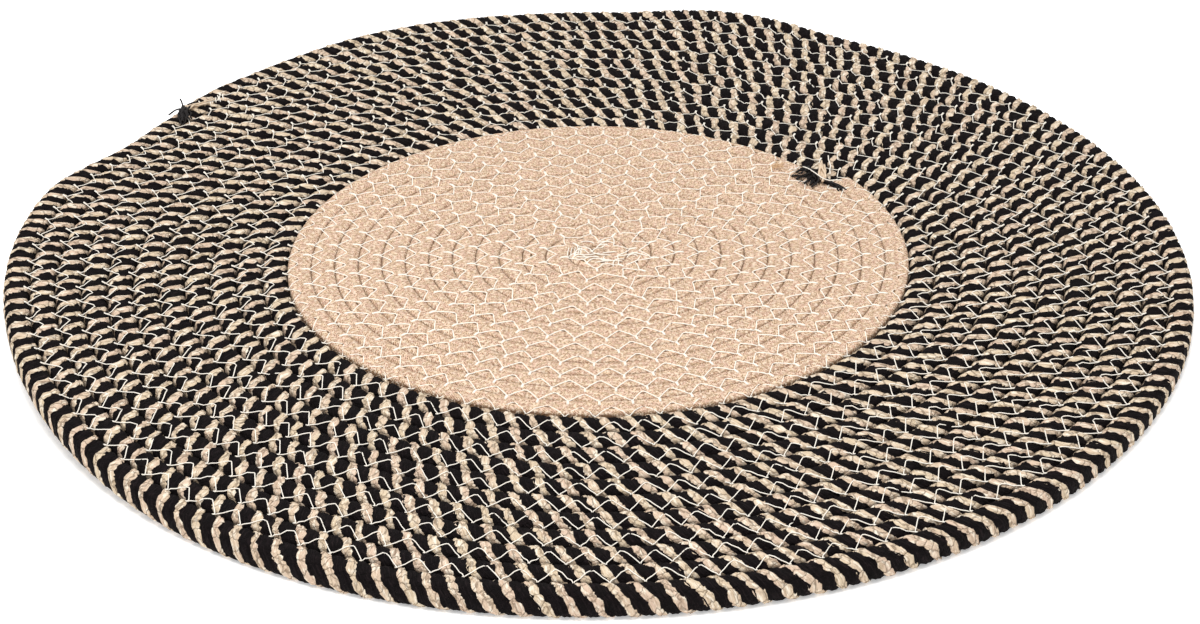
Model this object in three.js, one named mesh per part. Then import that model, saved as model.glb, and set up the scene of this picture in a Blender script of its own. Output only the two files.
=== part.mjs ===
// A round rug made of one flat winding, sewn turn to turn.
// The middle is a plain natural cord. A thicker two-tone rope is butted to the cord's end and wound on
// outside it as a broad border. The winding runs outward and counter-clockwise, seen from above.
// The rug lies on the floor, a little oval, with its rim raised in two places.
// The outline is pulled in at the rope's end.
// Millimetres, +Z up, with the floor at z = 0 and the origin under the middle of the rug.

import * as THREE from 'three';

// Driving dimensions
const CORD_WIDTH = 11.5; // spacing of the cord's turns
const ROPE_WIDTH = 12.7; // spacing of the rope's turns
const HEIGHT = 12.0; // thickness of the sewn winding
const CREST = 0.97 * HEIGHT; // height of a turn's rounded top
const GROOVE = 0.62 * HEIGHT; // height of the groove between two turns
const GAP = 0.3; // free play between the cord disc and the rope border

// The winding is counted in steps, and a step is one face
const TURN = 56; // steps in one turn
const BUD = TURN; // where the cord leaves the small bud in the middle
const BUD_TAPER = 8; // steps over which the cord grows out of the bud
const JOIN = 13 * TURN + 5; // where the cord ends and the rope begins, 32 degrees round
const END = 24 * TURN + 22; // the rope's free end, 141 degrees round
const BLEND = 6; // steps either side of the join over which the spacing changes

// Cross-section of a turn, as shares of its width from its inner edge
const SHOULDER_IN = 0.28;
const SHOULDER_OUT = 0.72;
// The outermost turn shows its round side: height and inset of three points, from the widest one down
const RIM = [
  { height: 0.5 * HEIGHT, inset: 0 },
  { height: 0.16 * HEIGHT, inset: 0.12 * ROPE_WIDTH },
  { height: 0, inset: 0.28 * ROPE_WIDTH },
];

// How the rug lies: azimuth and half width of each place in degrees, and its size in millimetres
const LIFTS = [
  { azimuth: 187, half: 55, lift: 13.5 }, // raised left edge
  { azimuth: 74, half: 15, lift: 5.5 }, // small wave in the rear edge
];
const LIFT_FROM = 186; // radius where the rim starts to rise
const DENTS = [
  { azimuth: 155, half: 13, inset: 11.6 }, // flat stretch past the rope's end
  { azimuth: 135, half: 26, inset: 11.9 }, // the border pulled in at the rope's end
];
const OVAL = 4.4; // the rug is this much longer to the rear and front, and shorter to the sides
const EGG = 1.2; // and very slightly three-sided
const WAVES_FROM = 135; // radius where the outline's waves start
const RIM_RADIUS = 300; // nominal radius of the rug
const FLAT_RINGS = [LIFT_FROM, 215, 240, 262]; // radii of the underside's rings

const DEGREE = Math.PI / 180;

const clamp = (x, low, high) => Math.min(high, Math.max(low, x));
const smooth = (x) => { const t = clamp(x, 0, 1); return t * t * (3 - 2 * t); };

// A soft bump, 1 at its azimuth and 0 from its half width on
function bump(angle, place) {
  const turned = ((angle / DEGREE - place.azimuth) % 360 + 540) % 360 - 180;
  const away = Math.min(1, Math.abs(turned) / place.half);
  return Math.cos(away * Math.PI / 2) ** 2;
}

// Width of the cord or rope at a step of the winding
function widthAt(step) {
  return THREE.MathUtils.lerp(CORD_WIDTH, ROPE_WIDTH, smooth((step - JOIN + BLEND) / (2 * BLEND)));
}

// Radius of the centre line: the cord is an even spiral, and every turn after it lies against the last
function centreRadius(step) {
  if (step < JOIN - BLEND) return CORD_WIDTH * step / TURN;
  return centreRadius(step - TURN) + (widthAt(step - TURN) + widthAt(step)) / 2;
}

const innerEdge = (step) => centreRadius(step) - widthAt(step) / 2;

// A point of the rug as it lies, from its place in the even winding
// The slide moves it along the winding, which parts the cord's end from the rope's start
function place(radius, step, height, slide = 0) {
  const angle = step * 2 * Math.PI / TURN + slide / Math.max(radius, 1);
  const outward = Math.max(0, (radius - WAVES_FROM) / (RIM_RADIUS - WAVES_FROM));
  const dents = DENTS.reduce((sum, dent) => sum - dent.inset * bump(angle, dent), 0);
  const wave = -OVAL * Math.cos(2 * angle) + EGG * Math.cos(3 * angle) + dents;
  const rise = Math.max(0, (radius - LIFT_FROM) / (RIM_RADIUS - LIFT_FROM));
  const lift = LIFTS.reduce((sum, row) => sum + row.lift * bump(angle, row), 0);
  const lying = radius + wave * outward ** 2;
  return [lying * Math.cos(angle), lying * Math.sin(angle), height + lift * rise ** 2];
}

// A closed shell: named points, and faces over them
class Shell {
  constructor() {
    this.positions = [];
    this.faces = [];
    this.ids = new Map();
  }

  // The same name always gives the same point
  point(name, make) {
    if (!this.ids.has(name)) {
      this.ids.set(name, this.positions.length / 3);
      this.positions.push(...make());
    }
    return this.ids.get(name);
  }

  triangle(a, b, c) {
    if (a !== b && b !== c && c !== a) this.faces.push(a, b, c);
  }

  quad(a, b, c, d) {
    this.triangle(a, b, c);
    this.triangle(a, c, d);
  }

  // Faces between two lines of points that share their ends' order, each a list of { id, at }
  // Facing down where the first line lies clockwise of the second, seen from above
  zip(first, second) {
    let i = 0;
    let j = 0;
    while (i < first.length - 1 || j < second.length - 1) {
      const stepFirst = j === second.length - 1
        || (i < first.length - 1 && first[i + 1].at <= second[j + 1].at);
      if (stepFirst) {
        this.triangle(first[i].id, second[j].id, first[i + 1].id);
        i += 1;
      } else {
        this.triangle(first[i].id, second[j].id, second[j + 1].id);
        j += 1;
      }
    }
  }

  // A flat cut across the winding, from its corners { id, r, z } in order; facing is +1 along the winding
  cut(corners, facing) {
    const outline = corners.map((corner) => new THREE.Vector2(corner.r, corner.z));
    for (const [a, b, c] of THREE.ShapeUtils.triangulateShape(outline, [])) {
      const [p, q, s] = [outline[a], outline[b], outline[c]];
      const turn = (q.x - p.x) * (s.y - p.y) - (q.y - p.y) * (s.x - p.x);
      const ids = [corners[a].id, corners[b].id, corners[c].id];
      if (Math.sign(turn) === facing) ids.reverse();
      this.triangle(...ids);
    }
  }

  geometry() {
    const made = new THREE.BufferGeometry();
    made.setAttribute('position', new THREE.Float32BufferAttribute(this.positions, 3));
    made.setIndex(this.faces);
    made.computeVertexNormals();
    return made;
  }
}

// The ridged top of a stretch of winding, and the points that its walls share with it
function ridgedTop(shell, first, last, options) {
  const { growFrom = null, insideGap = 0, outsideGap = 0 } = options;
  const grown = (step) => (growFrom === null ? 1 : smooth((step - growFrom) / BUD_TAPER));

  // Inner edge of a turn, which starts at its outer edge where the cord grows out of the bud
  const edge = (step) => {
    const free = THREE.MathUtils.lerp(innerEdge(step + TURN), innerEdge(step), grown(step));
    if (step <= first + TURN && insideGap) return free + insideGap;
    return step >= last ? free - outsideGap : free;
  };

  // Only the cuts where cord and rope meet stand back along the winding
  const slideAt = (step) => {
    if (step === last) return -outsideGap;
    return step === first || step === first + TURN ? insideGap : 0;
  };

  const corner = (step, j) => {
    if (growFrom !== null && step === first) return corner(step + TURN, 0);
    const inner = edge(step);
    const outer = step + TURN <= last ? edge(step + TURN) : innerEdge(step + TURN) - outsideGap;
    const share = [0, SHOULDER_IN, SHOULDER_OUT][j];
    const radius = inner + (outer - inner) * share;
    const height = j === 0 ? GROOVE : THREE.MathUtils.lerp(GROOVE, CREST, grown(step));
    const id = shell.point(`top ${step} ${j}`, () => place(radius, step, height, slideAt(step)));
    return { id, r: radius, z: height };
  };

  // Outer edge of a turn: the next turn's groove, or the rim of the piece
  const outside = (step) => {
    if (step + TURN <= last) return corner(step + TURN, 0);
    const height = options.rim[0].height;
    const radius = innerEdge(step + TURN) - outsideGap;
    const id = shell.point(`rim ${step} 0`, () => place(radius, step, height, slideAt(step)));
    return { id, r: radius, z: height };
  };

  for (let step = first; step < last; step += 1) {
    for (const j of [0, 1, 2]) {
      const here = j === 2 ? outside(step) : corner(step, j + 1);
      const there = j === 2 ? outside(step + 1) : corner(step + 1, j + 1);
      shell.quad(corner(step, j).id, here.id, there.id, corner(step + 1, j).id);
    }
  }
  return { corner, outside, slideAt, edge };
}

// The wall round the outside of a piece, row by row below its widest points, and the cut at its end
function outerWall(shell, last, top, rim, outsideGap) {
  const rimPoint = (step, row) => {
    if (row === 0) return top.outside(step);
    const radius = innerEdge(step + TURN) - outsideGap - rim[row].inset;
    const slide = step === last - TURN || step === last ? -outsideGap : 0;
    const id = shell.point(`rim ${step} ${row}`, () => place(radius, step, rim[row].height, slide));
    return { id, r: radius, z: rim[row].height };
  };
  for (let step = last - TURN; step < last; step += 1) {
    for (let row = 0; row < rim.length - 1; row += 1) {
      const [a, b] = [rimPoint(step, row), rimPoint(step, row + 1)];
      const [c, d] = [rimPoint(step + 1, row + 1), rimPoint(step + 1, row)];
      shell.quad(a.id, b.id, c.id, d.id);
    }
  }
  const down = rim.map((_, row) => rimPoint(last, row));
  const up = rim.slice(1).map((_, row) => rimPoint(last - TURN, row + 1)).reverse();
  shell.cut([...[0, 1, 2].map((j) => top.corner(last, j)), ...down, ...up], 1);
  return (step) => rimPoint(step, rim.length - 1);
}

// A line of the underside, from the inside out
const underLine = (points) => points.map((point) => ({ id: point.id, at: point.r }));

// The natural cord disc: a bud in the middle, the ridged spiral, a straight wall and a flat underside
function cordDisc() {
  const shell = new Shell();
  const [first, last, gap] = [BUD, JOIN, GAP / 2];
  const rim = [{ height: GROOVE, inset: 0 }, { height: 0, inset: 0 }];
  const top = ridgedTop(shell, first, last, { growFrom: BUD, outsideGap: gap, rim });
  const under = outerWall(shell, last, top, rim, gap);

  // The bud: a ring of points half way in, and one point in the middle
  const middle = shell.point('bud middle', () => [0, 0, CREST]);
  const ring = (step) => shell.point(`bud ${step % TURN}`, () => place(top.edge(step) / 2, step, CREST));
  for (let step = first; step < first + TURN; step += 1) {
    const next = step + 1;
    shell.triangle(middle, ring(step), ring(next));
    shell.quad(ring(step), top.corner(step, 0).id, top.corner(next, 0).id, ring(next));
  }

  // Underside: from one point under the middle to the foot of the wall
  const floor = { id: shell.point('floor', () => [0, 0, 0]), r: 0 };
  for (let step = last - TURN; step < last; step += 1) {
    const outer = step + 1 === last ? [under(last - TURN), under(last)] : [under(step + 1)];
    shell.zip(underLine([floor, under(step)]), underLine([floor, ...outer]));
  }
  return shell.geometry();
}

// The two-tone rope border: inner wall, ridged spiral, round rim, and an underside that rises with the rim
function ropeBorder() {
  const shell = new Shell();
  const [first, last, gap] = [JOIN, END, GAP / 2];
  const top = ridgedTop(shell, first, last, { insideGap: gap, rim: RIM });
  const under = outerWall(shell, last, top, RIM, 0);

  // Inner wall, and the cut where the rope begins
  const foot = (step) => {
    const radius = top.edge(step);
    const id = shell.point(`foot ${step}`, () => place(radius, step, 0, top.slideAt(step)));
    return { id, r: radius, z: 0 };
  };
  for (let step = first; step < first + TURN; step += 1) {
    shell.quad(top.corner(step, 0).id, top.corner(step + 1, 0).id, foot(step + 1).id, foot(step).id);
  }
  const above = [0, 1, 2].map((j) => top.corner(first, j));
  shell.cut([...above, top.corner(first + TURN, 0), foot(first + TURN), foot(first)], -1);

  // Underside, in sectors: each side of a sector is a line of points from the inner wall to the rim
  // The two sides of a cut differ, so a line also says whether it lies before its step or after it
  const line = (step, before) => {
    const inside = first + THREE.MathUtils.euclideanModulo(step - first, TURN);
    let inner = [foot(inside)];
    if (inside === first) inner = before ? [foot(first + TURN)] : [foot(first), foot(first + TURN)];
    const outside = last - TURN + THREE.MathUtils.euclideanModulo(step - last, TURN);
    const outer = [under(outside)];
    if (outside === last - TURN && before) outer.push(under(last));
    const rings = FLAT_RINGS.map((radius) => {
      const id = shell.point(`ring ${radius} ${inside % TURN}`, () => place(radius, step, 0));
      return { id, r: radius, z: 0 };
    });
    return underLine([...inner, ...rings, ...outer]);
  };
  for (let step = 0; step < TURN; step += 1) {
    shell.zip(line(step, false), line(step + 1, true));
  }
  return shell.geometry();
}

// Natural jute, plain and laid with black
const naturalJute = new THREE.MeshStandardMaterial({ color: '#d9b892', roughness: 0.95, metalness: 0 });
const twoToneJute = new THREE.MeshStandardMaterial({ color: '#7b6a57', roughness: 0.95, metalness: 0 });

const rug = new THREE.Group();
for (const [name, geometry, material] of [
  ['centre_coil', cordDisc(), naturalJute],
  ['border_coil', ropeBorder(), twoToneJute],
]) {
  const mesh = new THREE.Mesh(geometry, material);
  mesh.name = name;
  rug.add(mesh);
}

// The origin goes under the middle of the rug's outline
const box = new THREE.Box3().setFromObject(rug);
const middle = box.getCenter(new THREE.Vector3());
rug.position.set(-middle.x, -middle.y, 0);

export default rug;
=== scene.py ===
# %% [markdown]
# # A round jute rug
# The real rug is one long winding. A plain knitted cord is coiled flat into a disc and sewn turn to turn.
# A thicker rope, laid from two black and two natural strands, is butted to the cord's end and coiled on
# outside it as a broad border. A cream thread zigzags over every groove and holds the turns together.
# In Blender, the cord and the rope are tubes carried along a spiral, and the thread is thousands of small
# arches. All of them are worked out with numpy, as whole arrays, from a few sizes.

# %% Load the frame
import math

import bpy
import numpy as np
from mathutils import Matrix, Vector


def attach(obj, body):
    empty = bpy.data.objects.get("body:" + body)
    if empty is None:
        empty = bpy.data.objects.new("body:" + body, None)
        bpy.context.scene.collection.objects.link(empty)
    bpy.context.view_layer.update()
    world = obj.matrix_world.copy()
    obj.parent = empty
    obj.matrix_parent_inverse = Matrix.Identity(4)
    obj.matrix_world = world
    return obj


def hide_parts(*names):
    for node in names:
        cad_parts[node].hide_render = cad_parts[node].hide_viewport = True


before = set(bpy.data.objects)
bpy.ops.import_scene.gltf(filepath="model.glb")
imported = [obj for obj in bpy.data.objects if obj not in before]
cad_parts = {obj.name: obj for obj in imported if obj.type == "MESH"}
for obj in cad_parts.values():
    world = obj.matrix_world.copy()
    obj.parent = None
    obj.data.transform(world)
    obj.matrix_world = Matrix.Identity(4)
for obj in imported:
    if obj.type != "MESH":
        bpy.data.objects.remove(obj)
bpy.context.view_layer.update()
print("nodes", sorted(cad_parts))

# %% [markdown]
# ## Sizes
# Lengths are in millimetres and angles in degrees, and lengths become metres only when a mesh is made. The
# winding is measured by how far it has turned: 0 is at the middle, 360 is one turn.

# %% Sizes of the winding
CORD_WIDTH = 11.5  # spacing of the cord's turns
ROPE_WIDTH = 12.7  # spacing of the rope's turns
HEIGHT = 12.0  # thickness of the sewn winding
STEP = 360 / 56  # the solids' own step along the winding
CORD_START = 60.0  # where the cord begins
JOIN = 13 * 360 + 5 * STEP  # where the cord ends and the rope begins
END = 24 * 360 + 22 * STEP  # the rope's free end
JOIN_GAP = 0.1  # the cord and the rope each stop this far from the join
BLEND = 6 * STEP  # either side of the join, the spacing changes over this much
WINDING_CENTRE = (-3.828, -3.655)  # the middle of the winding, from the middle of the rug's outline
MM = 0.001
FINE_STEPS = 60000  # places at which a length along the winding is tabled
rng = np.random.default_rng(24)

# %% How the rug lies
LIFTS = [(187, 55, 13.5), (74, 15, 5.5)]  # azimuth, half width and height of each raised place
LIFT_FROM = 186.0  # radius from which a raised place rises
DENTS = [(155, 13, 11.6), (135, 26, 11.9)]  # azimuth, half width and depth of each pulled-in place
OVAL = 4.4  # the outline is this much longer one way than round, and shorter the other
EGG = 1.2  # and this much out of true three times round
WAVES_FROM = 135.0  # radius from which the outline leaves the circle
RIM_RADIUS = 300.0

# %% [markdown]
# ## The spiral
# Each turn lies against the turn before it, so its radius is that turn's radius plus half of both widths.
# Going back turn by turn ends in the cord's even spiral, whose radius is simply the width for every turn.


# %% Radius of the winding
def smooth(x):
    """A soft step: 0 below 0, 1 above 1, and three x squared minus two x cubed between."""
    t = np.clip(x, 0, 1)
    return t * t * (3 - 2 * t)


def width_at(turned):
    """Width of the cord or rope, which changes softly about the join."""
    return CORD_WIDTH + (ROPE_WIDTH - CORD_WIDTH) * smooth((turned - JOIN + BLEND) / (2 * BLEND))


def centre_radius(turned):
    """Radius of the centre line: the even spiral, plus half of two widths for each turn outside it."""
    back = np.array(turned, float)
    outside = np.zeros_like(back)
    while np.any(back >= JOIN - BLEND):
        beyond = back >= JOIN - BLEND
        outside += np.where(beyond, (width_at(back - 360) + width_at(back)) / 2, 0)
        back = np.where(beyond, back - 360, back)
    return outside + CORD_WIDTH * back / 360


def bump(angle, azimuth, half):
    """A soft hump over the azimuth: the square of a cosine, 1 in its middle and 0 from its half width on."""
    turned = (angle - azimuth + 180) % 360 - 180
    return np.cos(np.minimum(1, np.abs(turned) / half) * np.pi / 2) ** 2


def lie(radius, turned, height):
    """Points in metres of the rug as it lies: the even winding with its oval, dents and raised places."""
    angle = np.radians(turned)
    outward = np.maximum(0, (radius - WAVES_FROM) / (RIM_RADIUS - WAVES_FROM)) ** 2
    wave = EGG * np.cos(3 * angle) - OVAL * np.cos(2 * angle)
    for azimuth, half, depth in DENTS:
        wave = wave - depth * bump(turned, azimuth, half)
    rise = np.maximum(0, (radius - LIFT_FROM) / (RIM_RADIUS - LIFT_FROM)) ** 2
    lift = sum(high * bump(turned, azimuth, half) for azimuth, half, high in LIFTS)
    lying = radius + wave * outward
    x = lying * np.cos(angle) + WINDING_CENTRE[0]
    y = lying * np.sin(angle) + WINDING_CENTRE[1]
    return np.stack(np.broadcast_arrays(x, y, height + lift * rise), axis=-1) * MM


def arc_lengths(turned, radius):
    """Length from the first place to each of them: the sum of the radius times the angle turned."""
    return np.concatenate([[0], np.cumsum(np.diff(np.radians(turned)) * radius[1:])])


fine_turned = np.linspace(0, END, FINE_STEPS)
fine_length = arc_lengths(fine_turned, centre_radius(fine_turned))


def length_at(turned):
    """Length of the winding from its middle, in millimetres."""
    return np.interp(turned, fine_turned, fine_length)


def turned_at(length):
    """How far the winding has turned at a length."""
    return np.interp(length, fine_length, fine_turned)


cord_length = length_at(JOIN) - length_at(CORD_START)
rope_length = length_at(END) - length_at(JOIN)
print(f"cord {cord_length / 1000:.2f} m, rope {rope_length / 1000:.2f} m")

# %% [markdown]
# ## Camera, light and floor
# The camera stands where the photograph's did, worked out from the rug's outline and from its turns: low,
# with a long lens. The light is a large soft box overhead and a bright even surround, which leave almost
# no shadow on a white floor.

# %% Camera
AIM = (3.44 + WINDING_CENTRE[0], -37.76 + WINDING_CENTRE[1])  # where the camera looks, on the floor
CAMERA_DISTANCE = 1407.0
CAMERA_ELEVATION = 29.11
CAMERA_ROLL = -0.39
SENSOR_WIDTH = 36.0
FOCAL_LENGTH = 2913 / 1200  # as fitted, in picture widths
LENS = SENSOR_WIDTH * FOCAL_LENGTH

elevation, roll = math.radians(CAMERA_ELEVATION), math.radians(CAMERA_ROLL)
ahead = Vector((0, math.cos(elevation), -math.sin(elevation)))
level_right = Vector((1, 0, 0))
level_up = level_right.cross(ahead)
right = math.cos(roll) * level_right + math.sin(roll) * level_up
up = math.cos(roll) * level_up - math.sin(roll) * level_right
eye = (Vector((*AIM, 0)) - CAMERA_DISTANCE * ahead) * MM

camera = bpy.data.objects.new("camera", bpy.data.cameras.new("camera"))
bpy.context.scene.collection.objects.link(camera)
camera.matrix_world = Matrix.Translation(eye) @ Matrix((right, up, -ahead)).transposed().to_4x4()
camera.data.sensor_width = SENSOR_WIDTH
camera.data.lens = LENS
bpy.context.scene.camera = camera
print("camera at", [round(v, 3) for v in eye], "lens", round(LENS, 1))

# %% Light
SURROUND_STRENGTH = 0.72
KEY_PLACE, KEY_SIZE, KEY_POWER = (-0.2, -0.35, 1.6), 0.9, 23  # metres and watts

surround = bpy.data.worlds.new("surround")
surround.use_nodes = True
surround.node_tree.nodes["Background"].inputs["Color"].default_value = (1, 1, 1, 1)
surround.node_tree.nodes["Background"].inputs["Strength"].default_value = SURROUND_STRENGTH
bpy.context.scene.world = surround

key_light = bpy.data.lights.new("key_light", "AREA")
key_light.shape = "SQUARE"
key_light.size = KEY_SIZE
key_light.energy = KEY_POWER
soft_box = bpy.data.objects.new("key_light", key_light)
bpy.context.scene.collection.objects.link(soft_box)
facing = (-Vector(KEY_PLACE)).to_track_quat("-Z", "Y")
soft_box.matrix_world = Matrix.Translation(KEY_PLACE) @ facing.to_matrix().to_4x4()
print("key light", KEY_SIZE, "m wide,", KEY_POWER, "W")
bpy.context.scene.view_settings.view_transform = "Standard"

# %% [markdown]
# ## Meshes
# Every piece here is a grid of points with faces between its rows and columns. One helper turns the arrays
# into a mesh in one go, and another makes a whole bundle of tubes at once.


# %% From arrays to a piece
def make_piece(name, points, quads, triangles=(), uv=None, flat_from=None, values=None):
    """One mesh object from a point array in metres and face index arrays. The uv is given per corner, faces
    from flat_from on are shaded flat, and values are named numbers, one for each point."""
    quads = np.asarray(quads, np.int32).reshape(-1, 4)
    triangles = np.asarray(triangles, np.int32).reshape(-1, 3)
    corners = np.concatenate([quads.ravel(), triangles.ravel()])
    totals = np.repeat([4, 3], [len(quads), len(triangles)]).astype(np.int32)
    mesh = bpy.data.meshes.new(name)
    mesh.vertices.add(len(points))
    mesh.vertices.foreach_set("co", np.ascontiguousarray(points, np.float32).ravel())
    mesh.loops.add(len(corners))
    mesh.loops.foreach_set("vertex_index", corners)
    mesh.polygons.add(len(totals))
    mesh.polygons.foreach_set("loop_start", np.concatenate([[0], np.cumsum(totals)[:-1]]).astype(np.int32))
    mesh.polygons.foreach_set("loop_total", totals)
    smooth_faces = np.ones(len(totals), bool)
    if flat_from is not None:
        smooth_faces[flat_from:] = False
    mesh.polygons.foreach_set("use_smooth", smooth_faces)
    if uv is not None:
        mesh.uv_layers.new(name="surface").data.foreach_set("uv", np.asarray(uv, np.float32).ravel())
    for key, numbers in (values or {}).items():
        mesh.attributes.new(key, "FLOAT", "POINT").data.foreach_set("value", np.asarray(numbers, np.float32))
    mesh.update(calc_edges=True)
    piece = bpy.data.objects.new(name, mesh)
    bpy.context.scene.collection.objects.link(piece)
    return piece


def tube_faces(tubes, rings, sides):
    """Faces of a bundle of tubes whose points run tube by tube, ring by ring: sides, then both ends."""
    number = np.arange(tubes * rings * sides, dtype=np.int32).reshape(tubes, rings, sides)
    here, there = number[:, :-1], number[:, 1:]
    quads = np.stack([here, there, np.roll(there, -1, axis=2), np.roll(here, -1, axis=2)], axis=-1)
    fan = np.arange(1, sides - 1)
    first, last = number[:, 0], number[:, -1]
    start = np.stack([np.repeat(first[:, :1], len(fan), 1), first[:, fan], first[:, fan + 1]], axis=-1)
    end = np.stack([np.repeat(last[:, :1], len(fan), 1), last[:, fan + 1], last[:, fan]], axis=-1)
    return quads.reshape(-1, 4), np.concatenate([start.reshape(-1, 3), end.reshape(-1, 3)])


def unit(vectors):
    """Vectors of length one."""
    return vectors / np.maximum(np.linalg.norm(vectors, axis=-1, keepdims=True), 1e-12)


def thin_tubes(name, paths, thickness, sides, lean):
    """A piece of thin tubes, one round each path, with the thickness in mm: a ring of points stands across
    the path at each of its places. The lean is a direction that no path runs along."""
    along = unit(np.gradient(paths, axis=1))
    across = unit(np.cross(along, lean))
    over = np.cross(across, along)
    angle = 2 * np.pi * (np.arange(sides) + 0.5) / sides
    ring = np.cos(angle)[:, None] * across[:, :, None] + np.sin(angle)[:, None] * over[:, :, None]
    points = paths[:, :, None] + ring * np.asarray(thickness * MM)[..., None, None] / 2
    quads, ends = tube_faces(len(paths), paths.shape[1], sides)
    return make_piece(name, points.reshape(-1, 3), quads, ends)


# %% [markdown]
# ## Finishes
# Jute is a dry, matt fibre. Its colour wanders from cream to a pinkish tan along each yarn, and its
# surface is all fine twisted fibres. The black strands are dyed jute. They swallow nearly all light.
# The patterns follow the yarns, so the materials read the tubes' own surface coordinates, in metres: one runs
# along the strand and the other across it. A Voronoi pattern makes the lumps and creases of the yarns, and
# shade is painted into the creases. The mesh itself says at each point how far it is inside a natural strand,
# and how deep in a groove, where shade is painted too.


# %% Node helpers
def new_finish(name, roughness, gloss):
    """A material with only its output and one Principled shader."""
    finish = bpy.data.materials.new(name)
    finish.use_nodes = True
    shader = finish.node_tree.nodes["Principled BSDF"]
    shader.inputs["Roughness"].default_value = roughness
    shader.inputs["Specular IOR Level"].default_value = gloss
    return finish, finish.node_tree, shader


def add(tree, kind, sockets=None, **settings):
    """One node: settings are its properties, and sockets are set to a value or linked."""
    node = tree.nodes.new(kind)
    for key, value in settings.items():
        setattr(node, key, value)
    for key, value in (sockets or {}).items():
        if isinstance(value, bpy.types.NodeSocket):
            tree.links.new(value, node.inputs[key])
        else:
            node.inputs[key].default_value = value
    return node


def maths(tree, operation, a, b=0.0, c=0.0):
    """The result of one Math node."""
    return add(tree, "ShaderNodeMath", {0: a, 1: b, 2: c}, operation=operation).outputs[0]


def mixed(tree, factor, a, b):
    """Two colours mixed: the factor is the share of the second."""
    return add(tree, "ShaderNodeMix", {0: factor, 6: a, 7: b}, data_type="RGBA").outputs[2]


def surface_place(tree, stretch):
    """The piece's own surface coordinates, scaled along and across the yarn."""
    uv = add(tree, "ShaderNodeUVMap", uv_map="surface").outputs[0]
    return add(tree, "ShaderNodeMapping", {"Vector": uv, "Scale": (*stretch, 1)}).outputs[0]


def noise(tree, place, scale, detail=2.0, roughness=0.5):
    """A noise value from 0 to 1."""
    sockets = {"Vector": place, "Scale": scale, "Detail": detail, "Roughness": roughness}
    return add(tree, "ShaderNodeTexNoise", sockets).outputs["Fac"]


def coat(tree, shader, colour, height, strength, distance):
    """Gives the shader its colour, and a relief that follows a height, with the distance in metres."""
    sockets = {"Height": height, "Strength": strength, "Distance": distance}
    relief = add(tree, "ShaderNodeBump", sockets).outputs[0]
    tree.links.new(colour, shader.inputs["Base Color"])
    tree.links.new(relief, shader.inputs["Normal"])


# %% More node helpers
def between(tree, value, low, high):
    """A value's place between two limits, from 0 to 1, with soft ends."""
    sockets = {"Value": value, "From Min": low, "From Max": high}
    return add(tree, "ShaderNodeMapRange", sockets, interpolation_type="SMOOTHSTEP").outputs[0]


def patches(tree, place, waves, detail, low, high):
    """Soft patches: noise with so many waves to a metre, from 0 at its low value to 1 at its high one."""
    return between(tree, noise(tree, place, waves, detail), low, high)


def lumps(tree, place, kind):
    """A flat Voronoi pattern: F1 is the distance to a lump's middle, and DISTANCE_TO_EDGE to its edge."""
    sockets = {"Vector": place, "Scale": 1.0, "Randomness": 1.0}
    node = add(tree, "ShaderNodeTexVoronoi", sockets, voronoi_dimensions="2D", feature=kind)
    return node.outputs["Distance"]


def piece_value(tree, name):
    """A number that the piece's own mesh carries at each of its points."""
    return add(tree, "ShaderNodeAttribute", attribute_name=name).outputs["Fac"]


def tinted(tree, tint, colour, where, share):
    """The tint with a colour over it: where that is 1 the colour has the whole share, and where 0 none."""
    return mixed(tree, maths(tree, "MULTIPLY", where, share), tint, colour)


# %% Rope finish
CREAM = (0.70, 0.565, 0.40, 1)
PINK_TAN = (0.68, 0.51, 0.385, 1)
PALE = (0.93, 0.83, 0.68, 1)
SHADE = (0.36, 0.25, 0.155, 1)
# painted shade for the creases between the yarn's lumps
CREASE_SHADE = (0.16, 0.105, 0.065, 1)
# painted shade deep in the grooves between the rope's turns
ROPE_GROOVE_SHADE = (0.07, 0.045, 0.03, 1)
BLACK = (0.0045, 0.0030, 0.0032, 1)
BLACK_WORN = (0.020, 0.013, 0.014, 1)
KNUCKLES = (205, 150)  # lumps of yarn to a metre, along the strand and across it
KNUCKLE_WAVES = 420  # and the waves to a metre in which chance shoves them
KNUCKLE_SHOVE = (0.8, 0.8, 0)  # by this much of their own size
EDGE_WAVES = ((420, 1.2), (90, 2.0))  # waves to a metre of a strand's edge, and their reach in mm
EDGE_NOTCH = (-1.5, 0.35)  # mm that the edge moves a lump's width away from its middle, and all over
EDGE_SOFT = 0.08  # mm either side over which the edge fades
ALONG_FIBRES = 0.16  # along the strand, the fibres' patterns have this share of their waves
FIBRES = (1250, 3.0, 0.65)  # waves to a metre, detail and roughness
PINK_PATCHES = (130, 1.0, 0.35, 0.65)  # waves to a metre, detail, and the noise where they begin and are full
PALE_FLECKS = (620, 2.0, 0.46, 0.70)
PALE_STRETCH = 0.4
SHADE_FIBRES = (0.46, 0.70)  # fibre values at which the shade begins and is full
WORN_FIBRES = (0.45, 0.80)
SHADE_SHARE = 0.72
CREASE_WIDE = (0.10, 0.02)  # the crease between lumps fades in from here to here
# how much painted shade the creases take
CREASE_SHADE_SHARE = 0.6
# how much painted shade the grooves take
ROPE_GROOVE_SHADE_SHARE = 0.75
RELIEF_SHARES = (0.7, -0.15, -0.4)  # of the fibres, the creases and the lumps' domes
ROPE_RELIEF = 0.0017  # metres
JUTE_ROUGH, ROPE_GLOSS, CORD_GLOSS, YARN_GLOSS = 0.9, 0.1, 0.2, 0.3


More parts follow.
